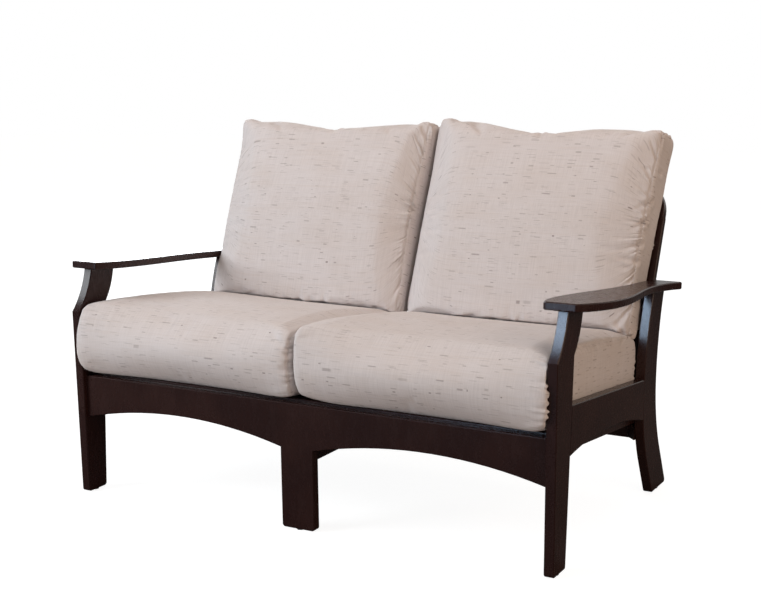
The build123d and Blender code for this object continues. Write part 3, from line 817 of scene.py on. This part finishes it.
def press(piece, cushion, creases):
    """Presses single creases into a cover. Each is a start and an end, across, along and proud of
    the middle, a half width and a depth, all in millimetres."""
    mesh = piece.data
    points, normals = read_points(mesh), read_normals(mesh)
    local = cushion.local(points)
    push = np.zeros(len(points))
    for start, end, width, depth in creases:
        start, end = np.array(start) * MM, np.array(end) * MM
        width, depth = width * MM, depth * MM
        run = end - start
        share = np.clip(((local - start) @ run) / (run @ run), 0, 1)
        away = np.linalg.norm(local - start - share[:, None] * run, axis=1)
        push -= depth * near(away, width) * (1 - CREASE_FADE * share)
        beside = near(away - CREASE_RIDGE_AT * width, CREASE_RIDGE_WIDTH * width)
        push += CREASE_RIDGE * depth * beside * (1 - share)
    write_points(mesh, points + normals * push[:, None])


def shape_back(piece, cushion, side):
    """Draws a back cushion to the photograph: its top upwards, most near its corners, its outer
    corner outwards, its inner front edge backwards and its inner end to the left."""
    by = BACK_SHAPES[side]
    sign = 1 if side == "right" else -1
    mesh = piece.data
    points = read_points(mesh)
    local = cushion.local(points)
    along, proud = local[:, 1], local[:, 2]
    outer, inner = cushion.ends(local)[::-sign]
    if side == "left":
        crown = 1 - near(np.minimum(outer, inner), 120 * MM)
    else:
        crown = (1 - near(inner, 90 * MM)) * ramp(outer, 40 * MM, 200 * MM)
    lift = by.lift + by.crown * crown + by.corner * near(inner, 120 * MM)
    lift += by.tip * near(inner - 45 * MM, 35 * MM) + by.outer_lift * ramp(outer, 0, 100 * MM)
    at_top = ramp(along, along.max() - 130 * MM, along.max()) ** 2
    points += (lift * MM * at_top)[:, None] * cushion.along
    below_arm = ramp(along, -150 * MM, -200 * MM)
    behind = ramp(proud, 15 * MM, -15 * MM) * ramp(along, -100 * MM, 100 * MM)
    outward = by.outward * at_top + by.outward_behind * behind + by.below_arm * below_arm
    points[:, 0] += sign * outward * MM * near(outer, 80 * MM)
    backward = by.backward * ramp(inner, 110 * MM, 0) ** 2
    backward += by.outer_backward * ramp(outer, 100 * MM, 0) ** 2
    points[:, 1] += backward * MM * ramp(proud, 0, 50 * MM)
    front = ramp(proud, 5 * MM, 50 * MM) * np.maximum(ramp(along, -260 * MM, -60 * MM), 0.1)
    points[:, 0] -= by.front_edge * MM * front * near(inner, 50 * MM)
    foot = ramp(along, -40 * MM, -240 * MM) ** 1.5
    head = ramp(along, 120 * MM, 250 * MM)
    lean = by.lean + by.foot * foot + by.head * head
    points[:, 0] -= lean * MM * near(inner, 100 * MM)
    write_points(mesh, points)


def lay_pattern(piece, node, cushion, sizes):
    """Writes the cloth's own flat places, in metres, as a UV map: the wrap and the end panels."""
    mesh = piece.data
    points = read_points(mesh)
    local = cushion.local(points)
    end_panel = np.minimum(*read_ends(mesh)) < sizes.seam_inset
    girth = cushion.girth(local)
    corners = np.empty(len(mesh.loops), dtype=np.int32)
    mesh.loops.foreach_get("vertex_index", corners)
    starts = np.empty(len(mesh.polygons), dtype=np.int32)
    totals = np.empty(len(mesh.polygons), dtype=np.int32)
    mesh.polygons.foreach_get("loop_start", starts)
    mesh.polygons.foreach_get("loop_total", totals)
    face = np.repeat(np.arange(len(starts)), totals)
    on_end = np.add.reduceat(end_panel[corners].astype(float), starts) / totals > 0.5
    around = girth[corners]
    highest = np.maximum.reduceat(around, starts)[face]
    around = np.where(highest - around > cushion.round / 2, around + cushion.round, around)
    wrap = np.stack([local[corners, 0], around], axis=1)
    run, rise = (2, 1) if node.startswith("back") else (1, 2)
    panel = np.stack([local[corners, run] + PANEL_SHIFT, local[corners, rise]], axis=1)
    flat = np.where(on_end[face][:, None], panel, wrap) + CLOTH_SHIFTS[node]
    layer = mesh.uv_layers.new(name="cloth")
    layer.data.foreach_set("uv", flat.ravel())
    for name in END_MARKS:
        mesh.attributes.remove(mesh.attributes[name])


def make_cushion(node, cushion, sizes, pressure, slack, free, shape):
    """A filled cover in place of a cushion's solid."""
    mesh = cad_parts[node].data.copy()
    piece = bpy.data.objects.new(node + "_cover", mesh)
    bpy.context.scene.collection.objects.link(piece)
    mesh.materials.clear()
    pick(piece)
    bpy.ops.object.mode_set(mode="EDIT")
    bpy.ops.mesh.select_all(action="SELECT")
    bpy.ops.mesh.remove_doubles(threshold=0.05 * MM)
    bpy.ops.object.mode_set(mode="OBJECT")
    fill_cover(piece, cushion, sizes, pressure, slack, free, shape)
    return piece


def finish_cushion(piece, node, cushion, sizes):
    """Lays the cloth on a cover and says what it stands for."""
    lay_pattern(piece, node, cushion, sizes)
    pick(piece)
    bpy.ops.object.shade_smooth()
    finishes = bpy.context.scene.loveseat_finishes
    piece.data.materials.append(
        bpy.data.materials.get("slub cloth") or cloth_material(finishes)
    )
    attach(piece, node)
    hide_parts(node)


class LOVESEAT_OT_frame_finishes(bpy.types.Operator):
    """Give the boards, brackets and glides of the frame their finishes"""

    bl_idname = "loveseat.frame_finishes"
    bl_label = "Frame finishes"

    def execute(self, context):
        finish = context.scene.loveseat_finishes
        polymer = polymer_material(finish)
        for name in POLYMER_NODES:
            paint_node(name, polymer)
        paint_node("stile_brackets", steel_material(finish))
        paint_node("leg_glides", nylon_material(finish))
        return {"FINISHED"}


class LOVESEAT_OT_seat_cushions(bpy.types.Operator):
    """Fill and sew the two seat cushions"""

    bl_idname = "loveseat.seat_cushions"
    bl_label = "Seat cushions"

    def execute(self, context):
        sizes = context.scene.loveseat_cushions
        rake = radians(SEAT_RAKE)
        for side in SIDES:
            node = "seat_cushion_" + side
            cushion = Cushion(node, (0, cos(rake), -sin(rake)), (0, sin(rake), cos(rake)))

            def free(local):
                resting = (local[:, 2] < -75 * MM) | (local[:, 1] > 270 * MM)
                return np.where(resting, 0.0, sizes.seat_proud * cushion.off_ends(local))

            def shape(piece):
                shape_seat(piece, cushion, side)

            piece = make_cushion(
                node, cushion, sizes, sizes.seat_pressure, sizes.seat_slack, free, shape
            )
            sew(piece, cushion, sizes, SEAT_SEAMS, side)
            finish_cushion(piece, node, cushion, sizes)
        return {"FINISHED"}


class LOVESEAT_OT_back_cushions(bpy.types.Operator):
    """Fill and sew the two back cushions"""

    bl_idname = "loveseat.back_cushions"
    bl_label = "Back cushions"

    def execute(self, context):
        sizes = context.scene.loveseat_cushions
        lean = radians(BACK_LEAN)
        seats = solid_of([bpy.data.objects[f"seat_cushion_{side}_cover"] for side in SIDES])
        for side in SIDES:
            node = "back_cushion_" + side
            cushion = Cushion(node, (0, sin(lean), cos(lean)), (0, -cos(lean), sin(lean)))

            def free(local):
                resting = local[:, 2] < -30 * MM
                return np.where(resting, 0.0, sizes.back_proud * cushion.off_ends(local))

            def shape(piece):
                shape_back(piece, cushion, side)
                settle(piece, cushion, seats)

            piece = make_cushion(
                node, cushion, sizes, sizes.back_pressure, sizes.back_slack, free, shape
            )
            sew(piece, cushion, sizes, BACK_SEAMS, side)
            press(piece, cushion, BACK_CREASES[side])
            finish_cushion(piece, node, cushion, sizes)
        return {"FINISHED"}


def add_lamp(name, plan, watts):
    """A soft rectangular lamp that looks at a point."""
    data = bpy.data.lights.new(name, "AREA")
    data.shape = "RECTANGLE"
    data.size, data.size_y = plan.sides
    data.energy, data.color = watts, plan.colour
    lamp = bpy.data.objects.new(name, data)
    bpy.context.scene.collection.objects.link(lamp)
    lamp.location = plan.place
    ahead = Vector(plan.target) - Vector(plan.place)
    lamp.rotation_euler = ahead.to_track_quat("-Z", "Y").to_euler()
    return lamp


def seen_rays(paint):
    """1 where a camera ray or a ray through glass looks, and 1 where a mirror ray looks."""
    camera, mirror, glass = paint.node(
        "ShaderNodeLightPath", out=("Is Camera Ray", "Is Glossy Ray", "Is Transmission Ray")
    )
    return camera.at_least(glass), mirror


class LOVESEAT_OT_stage(bpy.types.Operator):
    """Set up the floor, the lamps, the room light and the camera"""

    bl_idname = "loveseat.stage"
    bl_label = "Stage"

    def execute(self, context):
        stage = context.scene.loveseat_stage
        self.floor(stage)
        self.world(context.scene, stage)
        for name, plan in LAMPS.items():
            lamp = add_lamp(name + " lamp", plan, getattr(stage, name))
            lamp.visible_diffuse = name != "strip"
        self.camera(context.scene, stage)
        context.scene.view_settings.view_transform = "Standard"
        return {"FINISHED"}

    def floor(self, stage):
        """A white floor that keeps a soft shadow, and is darker where gloss mirrors it."""
        bpy.ops.object.select_all(action="DESELECT")
        bpy.ops.mesh.primitive_plane_add(size=stage.floor_size, location=(0, 0, 0))
        floor = bpy.context.object
        floor.name = "floor"
        paint = new_paint("floor")
        glow = paint.node(
            "ShaderNodeEmission", None, {"Color": (1, 1, 1, 1), "Strength": stage.floor_glow}
        )
        shade = paint.node("ShaderNodeBsdfDiffuse", None, {"Color": (*[stage.floor_shade] * 3, 1)})
        seen = paint.node("ShaderNodeAddShader", None, {0: glow, 1: shade})
        direct, mirror = seen_rays(paint)
        lit, mirrored = (0.42, 0.38, 0.36, 1), (*[stage.floor_mirror] * 3, 1)
        plain = paint.node(
            "ShaderNodeBsdfDiffuse", None, {"Color": paint.mix(mirror, lit, mirrored)}
        )
        both = paint.node("ShaderNodeMixShader", None, {0: direct, 1: plain, 2: seen})
        paint.node("ShaderNodeOutputMaterial", None, {"Surface": both})
        floor.data.materials.append(paint.owner)

    def world(self, scene, stage):
        """A plain white room: pale light all round, white where it is seen, and for gloss a room
        that is bright at the left rear and dim in front."""
        scene.world = bpy.data.worlds.new("room")
        paint = Paint(scene.world)
        direct, mirror = seen_rays(paint)
        right, back, _ = paint.parts(paint.node("ShaderNodeTexCoord", out="Generated"))
        room = (1.15 - right.step(-0.4, 0.9) * 0.5) * stage.world
        backdrop = back.step(0.0, 0.35) * (5.0 - right.step(-0.68, -0.46) * 4.5) + 0.06
        strength = (room * (1.0 - mirror) + backdrop * mirror) * (1.0 - direct) + direct
        warmth = right.step(-0.5, 0.9) * (1.0 - direct)
        tint = paint.mix(warmth, (1, 1, 1, 1), (1.0, 0.87, 0.76, 1))
        glow = paint.node("ShaderNodeBackground", None, {"Color": tint, "Strength": strength})
        paint.node("ShaderNodeOutputWorld", None, {"Surface": glow})

    def camera(self, scene, stage):
        """The photograph's point of view."""
        data = bpy.data.cameras.new("camera")
        data.sensor_width, data.lens = CAMERA_SENSOR, CAMERA_LENS
        data.shift_x, data.shift_y = CAMERA_SHIFT
        data.clip_start, data.clip_end = 0.05, 100.0
        camera = bpy.data.objects.new("camera", data)
        scene.collection.objects.link(camera)
        level = cos(stage.pitch)
        ahead = Vector((-sin(stage.yaw) * level, cos(stage.yaw) * level, -sin(stage.pitch)))
        right = Vector((cos(stage.yaw), sin(stage.yaw), 0.0))
        up = right.cross(ahead)
        rolled_right = right * cos(stage.roll) + up * sin(stage.roll)
        rolled_up = up * cos(stage.roll) - right * sin(stage.roll)
        turn = Matrix((rolled_right, rolled_up, -ahead)).transposed()
        camera.matrix_world = Matrix.Translation(CAMERA_PLACE) @ turn.to_4x4()
        scene.camera = camera


class LOVESEAT_PT_sidebar(bpy.types.Panel):
    """Settings and steps of the loveseat"""

    bl_idname = "LOVESEAT_PT_sidebar"
    bl_label = "Patio loveseat"
    bl_space_type = "VIEW_3D"
    bl_region_type = "UI"
    bl_category = "Loveseat"

    def draw(self, context):
        for name in SETTINGS:
            column = self.layout.column(align=True)
            group = getattr(context.scene, name)
            column.label(text=group.__doc__ or name)
            for setting in group.bl_rna.properties:
                if setting.identifier not in ("name", "rna_type"):
                    column.prop(group, setting.identifier)
        for step in STEPS:
            self.layout.operator(step.bl_idname)


SETTINGS = {
    "loveseat_finishes": LoveseatFinishes,
    "loveseat_cushions": LoveseatCushions,
    "loveseat_stage": LoveseatStage,
}
STEPS = (
    LOVESEAT_OT_frame_finishes,
    LOVESEAT_OT_seat_cushions,
    LOVESEAT_OT_back_cushions,
    LOVESEAT_OT_stage,
)


def register():
    """Registers the settings, the steps and the panel."""
    for group in (*SETTINGS.values(), *STEPS, LOVESEAT_PT_sidebar):
        bpy.utils.register_class(group)
    for name, group in SETTINGS.items():
        setattr(bpy.types.Scene, name, bpy.props.PointerProperty(type=group))


def unregister():
    """Takes the panel, the steps and the settings away again."""
    for name in SETTINGS:
        delattr(bpy.types.Scene, name)
    for group in (LOVESEAT_PT_sidebar, *STEPS[::-1], *SETTINGS.values()):
        bpy.utils.unregister_class(group)


def main():
    """Runs the steps in order."""
    register()
    bpy.ops.loveseat.frame_finishes()
    bpy.ops.loveseat.seat_cushions()
    bpy.ops.loveseat.back_cushions()
    bpy.ops.loveseat.stage()


if __name__ == "__main__":
    main()
